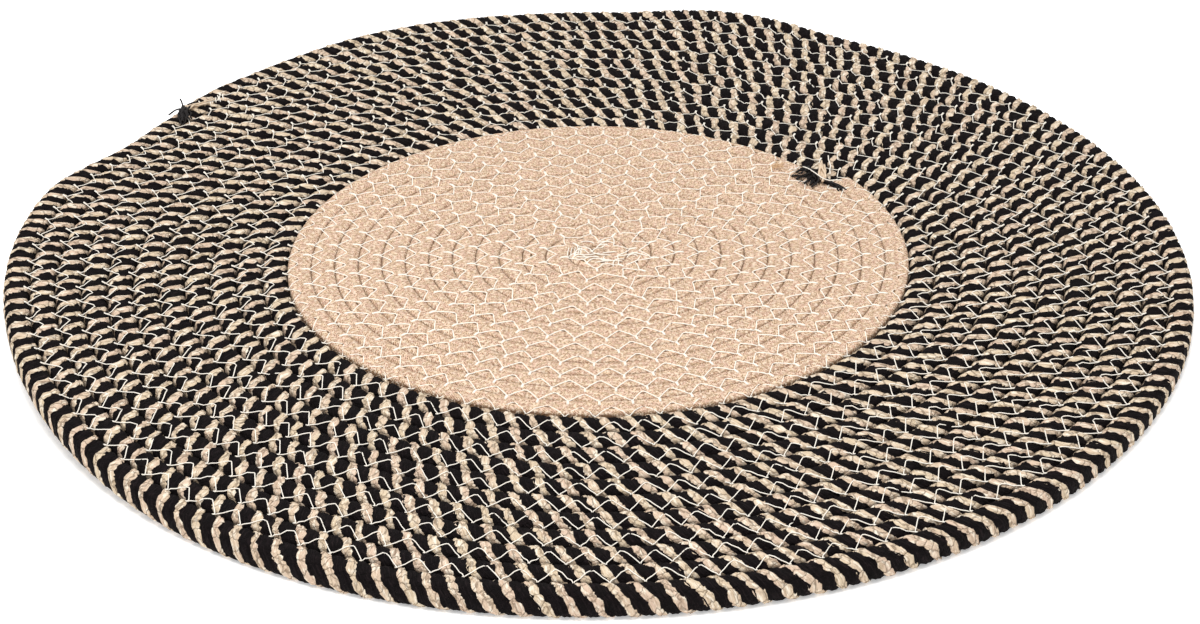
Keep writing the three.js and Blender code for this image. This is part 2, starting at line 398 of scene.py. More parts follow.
def rope_finish():
    """Natural and black strands: the edge value is millimetres inside a natural strand, below 0 on black."""
    finish, tree, shader = new_finish("two_tone_jute", JUTE_ROUGH, ROPE_GLOSS)
    even = surface_place(tree, (1, 1))
    along = surface_place(tree, (ALONG_FIBRES, 1))
    sockets = {"Vector": even, "Scale": KNUCKLE_WAVES, "Detail": 1.0}
    chance = add(tree, "ShaderNodeTexNoise", sockets).outputs["Color"]
    sockets = {0: chance, 1: KNUCKLE_SHOVE, 2: surface_place(tree, KNUCKLES)}
    knuckle = add(tree, "ShaderNodeVectorMath", sockets, operation="MULTIPLY_ADD").outputs[0]
    middle = lumps(tree, knuckle, "F1")
    inside = piece_value(tree, "natural_edge")
    for waves, reach in EDGE_WAVES:
        ragged = maths(tree, "MULTIPLY_ADD", noise(tree, even, waves, 1.0), reach, -reach / 2)
        inside = maths(tree, "ADD", inside, ragged)
    inside = maths(tree, "ADD", inside, maths(tree, "MULTIPLY_ADD", middle, *EDGE_NOTCH))
    natural = between(tree, inside, -EDGE_SOFT, EDGE_SOFT)
    fibres = noise(tree, along, *FIBRES)
    pale = patches(tree, surface_place(tree, (PALE_STRETCH, 1)), *PALE_FLECKS)
    crease = between(tree, lumps(tree, knuckle, "DISTANCE_TO_EDGE"), *CREASE_WIDE)
    tint = mixed(tree, patches(tree, along, *PINK_PATCHES), CREAM, PINK_TAN)
    tint = mixed(tree, pale, tint, PALE)
    tint = tinted(tree, tint, SHADE, between(tree, fibres, *SHADE_FIBRES), SHADE_SHARE)
    # painted shade: the creases between the lumps are darkened
    tint = tinted(tree, tint, CREASE_SHADE, crease, CREASE_SHADE_SHARE)
    # painted shade: the strands darken deep in the grooves between turns
    tint = tinted(tree, tint, ROPE_GROOVE_SHADE, piece_value(tree, "groove"), ROPE_GROOVE_SHADE_SHARE)
    dark = mixed(tree, between(tree, fibres, *WORN_FIBRES), BLACK, BLACK_WORN)
    dome = maths(tree, "MULTIPLY", middle, RELIEF_SHARES[2])
    creased = maths(tree, "MULTIPLY_ADD", crease, RELIEF_SHARES[1], dome)
    relief = maths(tree, "MULTIPLY_ADD", fibres, RELIEF_SHARES[0], creased)
    coat(tree, shader, mixed(tree, natural, dark, tint), relief, 1.0, ROPE_RELIEF)
    return finish


# %% Cord finish
CORD_CREAM = (0.83, 0.598, 0.397, 1)
CORD_PINK = (0.82, 0.537, 0.397, 1)
CORD_PALE = (0.95, 0.80, 0.63, 1)
CORD_SHADE = (0.29, 0.16, 0.085, 1)
# painted brown shade in the grooves between the cord's turns
CORD_GROOVE_SHADE = (0.22, 0.12, 0.06, 1)
CORD_WALE = 0.0026  # metres across one slanting row of knitting
CORD_RIB = 0.0014  # and metres along the cord for each stitch
CORD_SLANT = 1.3  # the rows lean along the cord by this much for each metre across it
CORD_WAVES = (420, 0.0032)  # waves to a metre by which the rows wander, and how far in metres
CORD_GRAIN = (820, 2.0, 0.6)  # as FIBRES
GRAIN_STRETCH = 0.7
CORD_PINK_PATCHES = (330, 2.0, 0.38, 0.62)
# how much painted shade the grooves take
CORD_GROOVE_SHADE_SHARE = 0.95
PALE_GRAINS = (0.48, 0.64)
PALE_SHARE = 0.8
STROKE_GRAIN = -3.2  # weight of the grain against the rows, in where a brown stroke falls
STROKES = (-0.98, -0.52)  # the weighed sum where a stroke begins and is full
STROKE_SHARE = 0.9
CORD_RIB_RELIEF = -0.4
CORD_RELIEF = 0.0010  # metres


def cord_finish():
    """Knitted natural cord: rows of small slanting stitches, pale grains, and painted brown shade in the
    grooves.
    """
    finish, tree, shader = new_finish("knitted_jute", JUTE_ROUGH, CORD_GLOSS)
    even = surface_place(tree, (1, 1))
    uv = add(tree, "ShaderNodeSeparateXYZ", {0: even})
    waves, reach = CORD_WAVES
    shifted = maths(tree, "ADD", uv.outputs[0], maths(tree, "MULTIPLY", noise(tree, even, waves, 2.0), reach))
    wale = maths(tree, "PINGPONG", uv.outputs[1], CORD_WALE)
    slant = maths(tree, "MULTIPLY_ADD", wale, CORD_SLANT, shifted)
    ribs = maths(tree, "SINE", maths(tree, "MULTIPLY", slant, 2 * math.pi / CORD_RIB))
    ribs = maths(tree, "MULTIPLY_ADD", ribs, 0.5, 0.5)  # from 0 to 1
    grain = noise(tree, surface_place(tree, (1, GRAIN_STRETCH)), *CORD_GRAIN)
    strokes = between(tree, maths(tree, "MULTIPLY_ADD", grain, STROKE_GRAIN, ribs), *STROKES)
    tint = mixed(tree, patches(tree, even, *CORD_PINK_PATCHES), CORD_CREAM, CORD_PINK)
    # painted shade: the cord goes brown deep in the grooves
    tint = tinted(tree, tint, CORD_GROOVE_SHADE, piece_value(tree, "groove"), CORD_GROOVE_SHADE_SHARE)
    tint = tinted(tree, tint, CORD_PALE, between(tree, grain, *PALE_GRAINS), PALE_SHARE)
    tint = tinted(tree, tint, CORD_SHADE, strokes, STROKE_SHARE)
    height = maths(tree, "ADD", grain, maths(tree, "MULTIPLY", ribs, CORD_RIB_RELIEF))
    coat(tree, shader, tint, height, 1.0, CORD_RELIEF)
    return finish


# %% Thread and frayed yarn
YARN_RELIEF = (0.3, 0.0002)  # strength and metres


def fine_finish(name, pale, deep, waves, roughness):
    """A thin yarn's finish: two close shades in fine noise, with a slight relief."""
    finish, tree, shader = new_finish(name, roughness, YARN_GLOSS)
    place = add(tree, "ShaderNodeTexCoord").outputs["Object"]
    grain = noise(tree, place, waves, 2.0)
    coat(tree, shader, mixed(tree, grain, pale, deep), grain, *YARN_RELIEF)
    return finish


rope_jute = rope_finish()
cord_jute = cord_finish()
# the fine yarns: their pale and deep shades, waves to a metre and roughness
cotton_thread = fine_finish("cream_cotton", (0.97, 0.935, 0.86, 1), (0.88, 0.80, 0.68, 1), 900, 0.7)
black_yarn = fine_finish("frayed_black_jute", (0.004, 0.003, 0.003, 1), (0.014, 0.010, 0.010, 1), 700, 0.7)
natural_yarn = fine_finish("loose_natural_jute", (0.80, 0.66, 0.50, 1), (0.50, 0.36, 0.24, 1), 700, 0.9)
# painted shade of the needle hollows
hollow_shade_finish = fine_finish("shaded_jute", (0.20, 0.12, 0.06, 1), (0.10, 0.055, 0.03, 1), 900, 0.9)
rust_yarn = fine_finish("rust_fibre", (0.80, 0.55, 0.33, 1), (0.58, 0.33, 0.15, 1), 700, 0.85)
print(len(bpy.data.materials), "finishes")

# %% Floor
FLOOR_HALF = 6.0  # metres
FLOOR_ROUGH, FLOOR_GLOSS = 0.9, 0.5
FLOOR_GLOW = 0.35  # a lit table, which hides the shadow

floor_finish, _, floor_shader = new_finish("white_floor", FLOOR_ROUGH, FLOOR_GLOSS)
floor_shader.inputs["Base Color"].default_value = (0.97, 0.97, 0.97, 1)
floor_shader.inputs["Emission Color"].default_value = (1, 1, 1, 1)
floor_shader.inputs["Emission Strength"].default_value = FLOOR_GLOW
floor_points = np.array([(-1, -1, 0), (1, -1, 0), (1, 1, 0), (-1, 1, 0)]) * FLOOR_HALF
floor = make_piece("floor", floor_points, [(0, 1, 2, 3)])
floor.data.materials.append(floor_finish)


# %% What a piece belongs to
def belongs(piece, finish, slot, *nodes):
    """Gives a piece its finish and says what it rides on and stands for. What it is made of, the slot, is not
    used.
    """
    piece.data.materials.append(finish)
    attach(piece, "root")
    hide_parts(*nodes)
    faces = sum(len(face.vertices) - 2 for face in piece.data.polygons)
    print(f"{piece.name}: {faces} triangles")


# %% [markdown]
# ## The cord and the rope
# Both are soft tubes, squeezed by their neighbours, so their section is between a circle and a square.
# A superellipse gives that shape. The winding's centre line carries the section round and round.


# %% Section and tube
def section(angle, squareness):
    """Outward and upward reach of a superellipse, in half widths: a cosine and a sine to a power below 1."""
    power = 2 / squareness
    c, s = np.cos(angle), np.sin(angle)
    return np.sign(c) * np.abs(c) ** power, np.sign(s) * np.abs(s) ** power


def coil(name, turned, angle, size, squareness, spread, uv_along, uv_across, values=None):
    """A closed tube along the winding: at each turn the centre's radius plus the section's outward reach.
    The angle is round the section, from outward over the top. The size and the spread scale the reach, and
    only the size scales the height."""
    rings, sides = angle.shape
    outward, upward = section(angle, squareness)
    reach = width_at(turned)[:, None] / 2 * size * spread
    radius = centre_radius(turned)[:, None] + outward * reach
    points = lie(radius, turned[:, None], HEIGHT / 2 * (1 + upward * size))
    middle = lie(centre_radius(turned[[0, -1]]), turned[[0, -1]], np.full(2, HEIGHT / 2))
    quads = tube_faces(1, rings, sides)[0]
    side = np.arange(sides)
    after = (side + 1) % sides
    start, end = rings * sides, rings * sides + 1
    last = (rings - 1) * sides
    start_cap = np.stack([np.full(sides, start), side, after], -1)
    end_cap = np.stack([np.full(sides, end), last + after, last + side], -1)
    columns = np.concatenate([uv_across, uv_across[-1:] + (uv_across[1] - uv_across[0])])
    ring, column = np.meshgrid(np.arange(rings - 1), np.arange(sides), indexing="ij")
    corner_rings = np.stack([ring, ring + 1, ring + 1, ring], -1)
    corner_columns = np.stack([column, column, column + 1, column + 1], -1)
    uv = np.stack([uv_along(corner_rings, corner_columns), columns[corner_columns]], -1).reshape(-1, 2)
    uv = np.concatenate([uv, np.zeros((6 * sides, 2))]) * MM  # the caps' corners need none
    flat = {key: numbers.ravel() for key, numbers in (values or {}).items()}
    flat = {key: np.concatenate([line, line[:1], line[-1:]]) for key, line in flat.items()}
    everything = np.concatenate([points.reshape(-1, 3), middle])
    return make_piece(name, everything, quads, np.concatenate([start_cap, end_cap]), uv, len(quads), flat)


# %% [markdown]
# ### The knitted cord
# The disc in the middle is about 6 m of cord. Its turns are pressed so close that only a thin groove shows
# between them. So the section is nearly square, and most of the grid's columns are gathered at its shoulders,
# which keeps the groove narrow and deep. At the middle the cord is folded under itself, so its first stretch
# swells out of a smaller end.

# %% Centre cord
CORD_TOP = np.array([0.985, 0.93, 0.80, 0.45])  # the columns' places on top, in half widths
CORD_UNDER = np.array([0.93, 0.40])  # and underneath
CORD_RING = 2.2  # length of cord from ring to ring
CORD_SQUARE = 8.0  # its squareness: 2 is round
CORD_SPREAD = 1.01  # pressing widens it by this
CORD_SIZE, CORD_UNEVEN = 1.01, 0.012  # mean size, and how much chance changes it
CORD_START_SIZE, CORD_SWELLS = 0.82, 60  # size at the start, and the degrees over which it swells to full
# where the painted groove shade starts and is full
CORD_GROOVE = (0.90, 0.08)  # the groove's tint starts here, in half widths, and is full this much further out
cord_rings = int(cord_length / CORD_RING) + 1
cord_turned = turned_at(np.linspace(length_at(CORD_START), length_at(JOIN - JOIN_GAP), cord_rings))
top_angle = np.arccos(CORD_TOP ** (CORD_SQUARE / 2))
under_angle = np.arccos(CORD_UNDER ** (CORD_SQUARE / 2))
over = np.concatenate([[0], top_angle, np.pi - top_angle[::-1]])
below = np.concatenate([[np.pi], np.pi + under_angle, 2 * np.pi - under_angle[::-1]])
cord_angle = np.tile(np.concatenate([over, below]), (cord_rings, 1))
cord_lumps = rng.normal(0, CORD_UNEVEN, cord_angle.shape)
cord_growth = 1 - (1 - CORD_START_SIZE) * (1 - smooth((cord_turned - CORD_START) / CORD_SWELLS)[:, None])
cord_size = (CORD_SIZE + cord_lumps) * cord_growth
cord_outward, cord_upward = section(cord_angle, CORD_SQUARE)
cord_steps = np.hypot(np.diff(cord_outward[0]) * CORD_WIDTH, np.diff(cord_upward[0]) * HEIGHT) / 2
cord_across = np.concatenate([[0], np.cumsum(cord_steps)])  # real distance round the section
# painted groove shade at each point: none on top, full deep in the groove
cord_groove_shade = smooth((np.abs(cord_outward) - CORD_GROOVE[0]) / CORD_GROOVE[1])
cord_piece = coil(
    "centre_cord", cord_turned, cord_angle, cord_size, CORD_SQUARE, CORD_SPREAD,
    lambda ring, column: length_at(cord_turned)[ring], cord_across, {"groove": cord_groove_shade},
)
belongs(cord_piece, cord_jute, "natural_cord", "centre_coil")

# %% [markdown]
# ### The two-tone rope
# The rope is laid from four strands, two natural and two black. A natural strand is itself two knobbly
# yarns. The grid's columns wind round the rope with the strands, so each column stays on its own strand:
# its angle falls by a whole turn for each lay length. The column's radius then shapes groove and crest.

# %% Sizes of the rope
LAY = 21.72  # length of rope in which a strand winds round once
ROPE_RING = 1.16  # length of rope from ring to ring
ROPE_SQUARE = 3.1
ROPE_SPREAD = 1.0
ROPE_SIZE = 1.015  # a little over its spacing, since turns are pressed together
NATURAL_SHARE = 0.44  # of a pair of strands, the natural one's part
# where a strand's columns lie, from 0 to 1 across the strand, and how far out each one is
NATURAL_COLUMNS = [(0.0, 0.86), (0.17, 0.975), (0.34, 1.005), (0.5, 0.98), (0.66, 1.005), (0.83, 0.975)]
BLACK_COLUMNS = [(0.0, 0.86), (0.33, 0.975), (0.67, 0.975)]
PRESSED = 0.45  # how much of the relief is left at the sides, where turns touch
END_TAPER = 34.0  # over its last stretch the rope gets thinner
END_THINNER = 0.42  # by this share


# %% Strands of the rope
def strand_columns():
    """For each column its share of the way round, how far out it is, whether it bears a natural strand's
    knuckles, and how many millimetres it is inside that strand. Last, the width of two strands side by side:
    half the girth times the sine of the angle between strand and girth."""
    share, relief, knuckle, edge = [], [], [], []
    pair_width = np.pi * ROPE_WIDTH / 2 * np.sin(np.arctan(LAY / (np.pi * ROPE_WIDTH)))
    for pair in (0, 0.5):
        for place, depth in NATURAL_COLUMNS:
            share.append(pair + place * NATURAL_SHARE / 2)
            relief.append(depth)
            knuckle.append(place > 0)
            edge.append(min(place, 1 - place) * NATURAL_SHARE * pair_width)
        for place, depth in BLACK_COLUMNS:
            share.append(pair + (NATURAL_SHARE + place * (1 - NATURAL_SHARE)) / 2)
            relief.append(depth)
            knuckle.append(False)
            edge.append(-min(place, 1 - place) * (1 - NATURAL_SHARE) * pair_width)
    return np.array(share), np.array(relief), np.array(knuckle), np.array(edge), pair_width


column_share, column_relief, column_knuckle, column_edge, pair_width = strand_columns()
rope_sides = len(column_share)
rope_rings = int(rope_length / ROPE_RING) + 1
rope_along = np.linspace(0, rope_length, rope_rings)
rope_turned = turned_at(length_at(JOIN + JOIN_GAP) + rope_along * (1 - 1e-6))  # a hair short, to stay inside
rope_angle = 2 * np.pi * (column_share[None, :] - rope_along[:, None] / LAY)

# %% [markdown]
# The knuckles are the bulges where a yarn's own plies come to the surface. Every other ring swells and the
# next one shrinks. Columns side by side are mostly in opposite step, and a good deal of chance comes on top.

# %% Chance in the rope
KNUCKLE_BEAT = 0.022  # swell and shrink of every other ring, in half widths
YARN_BEATS = 18  # round the rope, the beat changes sides this many times
KNUCKLE_CHANCE = 0.026
BLACK_CHANCE = 0.010
ANGLE_CHANCE = 0.035  # radians
TWIST_WANDER = ((0.22, 24), (0.08, 7))  # radians by which the twist is off, and over how many millimetres
SIZE_WANDER = (0.012, 9)  # the same for the size, as a share of it
# where the painted groove shade starts, in half widths, and how much further out it is full
ROPE_GROOVE = (0.80, 0.18)  # as the cord's


def wander(length, spacing):
    """A soft random line: chance values, one for each spacing of the length, joined by soft steps."""
    chance = rng.normal(0, 1, int(length[-1] / spacing) + 2)
    place = (length / spacing).astype(int)
    share = smooth(length / spacing - place)
    return (chance[place] * (1 - share) + chance[place + 1] * share)[:, None]


# %% Relief of the rope
rope_grid = (rope_rings, rope_sides)
ring_beat = np.where(np.arange(rope_rings)[:, None] % 2, 1, -1)
yarn_beat = np.where(column_share * YARN_BEATS % 2 < 1, 1, -1)
knuckles = KNUCKLE_BEAT * ring_beat * yarn_beat + rng.normal(0, KNUCKLE_CHANCE, rope_grid)
rough = np.where(column_knuckle, knuckles, rng.normal(0, BLACK_CHANCE, rope_grid))
pressed = PRESSED + (1 - PRESSED) * np.abs(section(rope_angle, ROPE_SQUARE)[1])
rope_size = ROPE_SIZE + (column_relief - 1 + rough) * pressed
rope_size *= 1 - END_THINNER * (1 - smooth((rope_length - rope_along) / END_TAPER))[:, None]
rope_angle = rope_angle + column_knuckle * rng.normal(0, ANGLE_CHANCE, rope_grid)
for reach, spacing in TWIST_WANDER:
    rope_angle = rope_angle + reach * wander(rope_along, spacing)
rope_size = rope_size * (1 + SIZE_WANDER[0] * wander(rope_along, SIZE_WANDER[1]))

# %% The rope's grooves, and the slope of its strands
rope_outward = section(rope_angle, ROPE_SQUARE)[0]
open_side = (rope_outward > 0) & (rope_turned > END - 360)[:, None]  # the rim has no neighbour
# painted groove shade at each point: none on top, full deep in a groove, none on the rim's open side
rope_groove_shade = smooth((np.abs(rope_outward) - ROPE_GROOVE[0]) / ROPE_GROOVE[1])
rope_groove_shade[open_side] = 0
strand_slope = np.pi * ROPE_WIDTH / LAY
along_strand = np.hypot(1, strand_slope)
section_lean = np.pi * ROPE_WIDTH * np.cos(np.arctan(1 / strand_slope))
strand_angle = np.degrees(np.arctan(strand_slope))
print(f"{rope_rings} rings of {rope_sides}, strands {strand_angle:.0f} degrees off the rope")

# %% Three stretches of rope
STRETCHES = 3
column_across = column_share * 2 * pair_width
shares = np.concatenate([column_share, [1.0]])
edges = np.tile(column_edge, (rope_rings, 1))
cuts = np.linspace(0, rope_rings - 1, STRETCHES + 1).astype(int)
for number, (first, last) in enumerate(zip(cuts[:-1], cuts[1:])):
    part = slice(first, last + 1)

    def along(ring, column, first=first):
        """Distance along the strand: the rope's length stretched by the lay, less the lean of the section."""
        return rope_along[ring + first] * along_strand - shares[column] * section_lean

    piece = coil(
        f"border_rope_{number + 1}", rope_turned[part], rope_angle[part], rope_size[part], ROPE_SQUARE,
        ROPE_SPREAD, along, column_across, {"natural_edge": edges[part], "groove": rope_groove_shade[part]},
    )
    belongs(piece, rope_jute, "two_tone_rope", "border_coil")

# %% [markdown]
# ## The sewing
# One cream thread zigzags along every groove. Its needle goes down in the turn outside the groove and then
# near the crest of the turn inside it. Both threads of an outer hole run in side by side and part just before
# the groove, which makes a small Y. Here a stitch is one thin tube, from an outer hole over the groove and
# the inner turn's shoulder to its crest, and back to the next outer hole.

# %% Sizes of the stitches
STITCH = (13.8, 14.7)  # pitch of the zigzag, in the cord and in the rope
MESSY = 700.0  # over this length of groove at the middle the stitches are the least even
HOLE_CHANCE, MESSIER = 0.8, 2  # how far a hole is off along the groove, and how many times more at the middle
PEAK_CHANCE = (0.4, 1.4)  # how far the inner hole is off across it: anywhere, and at the middle besides
THREAD = 0.64  # its thickness
ROPE_THREAD = 0.85  # pulled into the softer rope, it shows this share of its thickness
THREAD_SIDES = 4
THREAD_LEAN = 0.6  # the direction that no thread runs along: this much outwards for each 1 upwards
HOLE_OUT = (4.6, 2.5)  # the outer hole lies this far outside the groove, in the cord and in the rope
V_OUT = 1.2  # and the threads part here
PEAK_FROM_CREST = 0.5  # the inner hole lies this far outside the inner turn's crest
PEAK_ROUND = 0.04  # how softly the thread turns there
STEM_APART = 0.28  # half the space between the two threads of a hole
STEM = ((0.55, 0.35), (1.0, 0.25))  # its points: share of the way to the hole, and height in threads
THREAD_DIP = (0.5, 1.1)  # over a groove the thread hangs no lower than this below the crests
THREAD_ABOVE = 0.3  # in threads, from the turn to the thread's middle
PEAK_DOWN = 0.5  # in threads, where the needle went in
ROPE_SUNK = (0.14, 0.18)  # how deep the thread lies in the rope: its mean, and its chance
FIRST_STITCH = 410.0
LEG = np.array([0, 0.12, 0.36, 0.66, 0.88, 1])  # a leg's points, from the parting to the crest


# %% Places along the grooves
def groove_at(turned):
    """Radius of the groove inside a turn: the centre line's, less half the width."""
    return centre_radius(turned) - width_at(turned) / 2


groove_turned = np.linspace(FIRST_STITCH, END, FINE_STEPS)
groove_length = arc_lengths(groove_turned, groove_at(groove_turned))
cord_groove_length = np.interp(JOIN, groove_turned, groove_length)
v_places = np.concatenate([
    np.arange(0, cord_groove_length, STITCH[0]),
    np.arange(cord_groove_length, groove_length[-1], STITCH[1]),
])
stitches = len(v_places) - 1
v_chance = HOLE_CHANCE * (1 + MESSIER * np.exp(-v_places / MESSY))
v_places = v_places + rng.normal(0, 1, stitches + 1) * v_chance
print(stitches, "stitches over", round(groove_length[-1] / 1000, 1), "m of groove")


def squareness_at(turned):
    """The section's squareness, the cord's or the rope's."""
    return np.where(turned < JOIN, CORD_SQUARE, ROPE_SQUARE)


def top_of_turns(across, turned):
    """Height of the turns beside a groove: the superellipse of the turn inside it or outside it."""
    own = np.where(across < 0, turned - 360, turned)
    half = width_at(own) / 2
    from_crest = np.clip(np.abs(np.abs(across) - half) / half, 0, 1)
    square = squareness_at(own)
    return HEIGHT / 2 * (1 + (1 - from_crest**square) ** (1 / square))


# %% Stitches
def stitch_paths():
    """Middle lines of all stitches, and how far each point has turned. Seen from above a leg is straight: its
    place across the groove rises evenly to the peak. Its height keeps to the tops of the turns."""
    share = np.concatenate([LEG / 2, 1 - LEG[-2::-1] / 2])
    place = v_places[:-1, None] + np.diff(v_places)[:, None] * share
    turned = np.interp(place, groove_length, groove_turned)
    peak = PEAK_FROM_CREST - width_at(turned - 360) / 2 + rng.normal(0, PEAK_CHANCE[0], (stitches, 1))
    peak = peak + rng.normal(0, PEAK_CHANCE[1], (stitches, 1)) * np.exp(-place[:, :1] / MESSY)
    from_peak = 1 - 2 * np.minimum(share, 1 - share)
    climb = 1 + PEAK_ROUND - np.sqrt(from_peak**2 + PEAK_ROUND**2)
    across = V_OUT + (peak - V_OUT) * climb
    in_rope = turned[:, :1] > JOIN
    lowest = HEIGHT - np.where(in_rope, THREAD_DIP[1], THREAD_DIP[0])
    sunk = np.where(in_rope, ROPE_SUNK[0] + ROPE_SUNK[1] * rng.normal(0, 1, turned.shape), 0)
    height = np.maximum(top_of_turns(across, turned), lowest) + THREAD_ABOVE * THREAD - sunk
    height[:, len(LEG) - 1] -= PEAK_DOWN * THREAD
    turned[:, [0, -1]] += np.degrees(STEM_APART / centre_radius(turned[:, [0, -1]])) * np.array([1, -1])
    ends = turned[:, [0, -1]]
    hole_out = np.where(in_rope, HOLE_OUT[1], HOLE_OUT[0])
    for share_out, above in STEM:
        out = np.repeat(share_out * hole_out, 2, axis=1)
        over = np.maximum(top_of_turns(out, ends), lowest) + above * THREAD
        turned = np.concatenate([ends[:, :1], turned, ends[:, 1:]], 1)
        across = np.concatenate([out[:, :1], across, out[:, 1:]], 1)
        height = np.concatenate([over[:, :1], height, over[:, 1:]], 1)
    return lie(groove_at(turned) + across, turned, height), turned


paths, path_turned = stitch_paths()
path_angle = np.radians(path_turned)
outward_lean = THREAD_LEAN * np.stack([np.cos(path_angle), np.sin(path_angle)], -1)
thread_lean = np.concatenate([outward_lean, np.ones_like(outward_lean[..., :1])], -1)
thickness = THREAD * np.where(path_turned > JOIN, ROPE_THREAD, 1)
stitch_piece = thin_tubes("zigzag_stitches", paths, thickness, THREAD_SIDES, thread_lean)
belongs(stitch_piece, cotton_thread, "sewing_thread", "centre_coil", "border_coil")

# %% [markdown]
# ### Needle holes
# Where the thread goes down near a crest it pulls the cord in, and a short shaded hollow shows beside it.
# The hollow's shade is painted on a thin dark flake whose face lies a hair above the cord, just on the
# groove's side of the thread. Only the cord has them, because the rope is too coarse and dark to show any.

# %% Painted shade of the hollows at the stitches
HOLLOW = (1.6, 0.55)  # half length along the turn and half width across it
HOLLOW_SIDES = 6
HOLLOW_ABOVE = 0.12  # height of a flake's face over the turn
HOLLOW_DEEP = 0.25  # its thickness
HOLLOW_FROM_PEAK = 0.9
HOLLOW_SMALL, HOLLOW_LARGE = 0.5, 1.15  # sizes, as shares of the above
peak_turned = path_turned[:, path_turned.shape[1] // 2]
peak_turned = peak_turned[peak_turned < JOIN + 360]
holes = len(peak_turned)
peak_across = PEAK_FROM_CREST - width_at(peak_turned - 360) / 2 + HOLLOW_FROM_PEAK
around = 2 * np.pi * np.arange(HOLLOW_SIDES) / HOLLOW_SIDES
wide = rng.uniform(HOLLOW_SMALL, HOLLOW_LARGE, (holes, 1))
hollow_across = peak_across[:, None] + HOLLOW[1] * wide * np.sin(around)
hollow_radius = groove_at(peak_turned[:, None]) + hollow_across
hollow_turned = peak_turned[:, None] + np.degrees(HOLLOW[0] * wide * np.cos(around) / hollow_radius)
hollow_height = top_of_turns(hollow_across, hollow_turned) + HOLLOW_ABOVE
hollow_top = lie(hollow_radius, hollow_turned, hollow_height)
hollow_bottom = lie(hollow_radius, hollow_turned, hollow_height - HOLLOW_DEEP)
hollow_points = np.stack([hollow_bottom, hollow_top], axis=1).reshape(-1, 3)
hollow_quads, hollow_ends = tube_faces(holes, 2, HOLLOW_SIDES)
hollow_shade_piece = make_piece("needle_hollow_shades", hollow_points, hollow_quads, hollow_ends, flat_from=0)
belongs(hollow_shade_piece, hollow_shade_finish, "natural_cord", "centre_coil")

# %% [markdown]
# ## Loose ends
# The rope's two ends are frayed. At the join its black yarns fan out over the cord, and at the rim they stick
# out past the end, which is bound with a few stitches. A yarn is a thin tube along a wavy line, and a tuft is
# an array of such lines that part from their root to their tips.


# %% Bundles of yarn
YARN_LEAN = np.array([0.21, 0.13, 1.0])  # a direction that no yarn runs along
IN_ROPE = {"slot": "two_tone_rope", "node": "border_coil"}
IN_CORD = {"slot": "natural_cord", "node": "centre_coil"}
SEWN_IN_ROPE = {"finish": cotton_thread, "slot": "sewing_thread", "node": "border_coil", "sides": 4}
SEWN_IN_CORD = {"finish": cotton_thread, "slot": "sewing_thread", "node": "centre_coil", "sides": 4}


def bundle(name, radius, azimuth, height, thickness, finish, slot, node, sides=5):
    """Yarns lying on the rug: each row of the arrays is one yarn, from its root to its tip."""
    yarns = thin_tubes(name, lie(radius, azimuth, height), thickness, sides, YARN_LEAN)
    belongs(yarns, finish, slot, node)


# %% A tuft
TUFT_POINTS = 11
TUFT_WAVES = (4, 9)  # radians of wave along a yarn, at least and at most
TUFT_PART = 0.8  # a power below 1, so the yarns part early
TUFT_ARCH = (0.12, 0.8)  # where on a half wave a yarn's arch starts, and how much of it follows
YARN_UNEVEN, YARN_RIPPLE = 0.4, 7  # height of a yarn's own small waves, and their radians


def tuft(name, yarns, root, tip, root_scatter, tip_scatter, wave, heights, **made_of):
    """Wavy yarns from a root to tips, each a radius and an azimuth. A yarn goes from root to tip, swings in
    and out by a sine that grows towards the tip, and arches by another between the two heights."""
    t = np.linspace(0, 1, TUFT_POINTS)
    start = np.array(root)[:, None] + rng.normal(0, 1, (2, yarns)) * np.array(root_scatter)[:, None]
    end = np.array(tip)[:, None] + rng.uniform(-1, 1, (2, yarns)) * np.array(tip_scatter)[:, None]
    radius, azimuth = start[:, :, None] + (end - start)[:, :, None] * t**TUFT_PART
    phase = rng.uniform(0, 2 * np.pi, (2, yarns, 1))
    swing = np.sin(phase[0] + t * rng.uniform(*TUFT_WAVES, (yarns, 1))) * wave * t
    layer = rng.uniform(0, 1, (yarns, 1))
    low, high = heights
    rise = (high - low) * layer * np.sin(np.pi * (TUFT_ARCH[0] + TUFT_ARCH[1] * t))
    height = low + rise + YARN_UNEVEN * np.sin(phase[1] + YARN_RIPPLE * t)
    bundle(name, radius + swing, azimuth, height, **made_of)


# %% The frayed start of the rope
taper = np.linspace(1.6, 1.05, TUFT_POINTS)  # thickness of a black yarn, from root to tip
tuft(
    "join_tuft", yarns=17, root=(145.0, 36.8), tip=(135.2, 36.0),
    root_scatter=(1.5, 1.4), tip_scatter=(3.6, 4.2), wave=1.8, heights=(12.2, 15.4),
    thickness=taper, finish=black_yarn, **IN_ROPE,
)
tuft(
    "join_tail", yarns=8, root=(141.5, 34.0), tip=(143.2, 28.2),
    root_scatter=(1.4, 0.5), tip_scatter=(2.0, 1.0), wave=1.6, heights=(12.2, 14.8),
    thickness=0.8 * taper, finish=black_yarn, **IN_ROPE,
)
tuft(
    "join_hairs", yarns=22, root=(144.5, 36.0), tip=(135.5, 36.2),
    root_scatter=(2.0, 1.6), tip_scatter=(6.0, 4.0), wave=3.0, heights=(12.6, 17.0),
    thickness=0.45, finish=black_yarn, sides=3, **IN_ROPE,
)
tuft(
    "join_natural_yarns", yarns=5, root=(150.5, 37.6), tip=(139.5, 32.2),
    root_scatter=(1.3, 0.5), tip_scatter=(1.8, 0.9), wave=0.9, heights=(14.2, 16.4),
    thickness=1.35, finish=natural_yarn, **IN_ROPE,
)

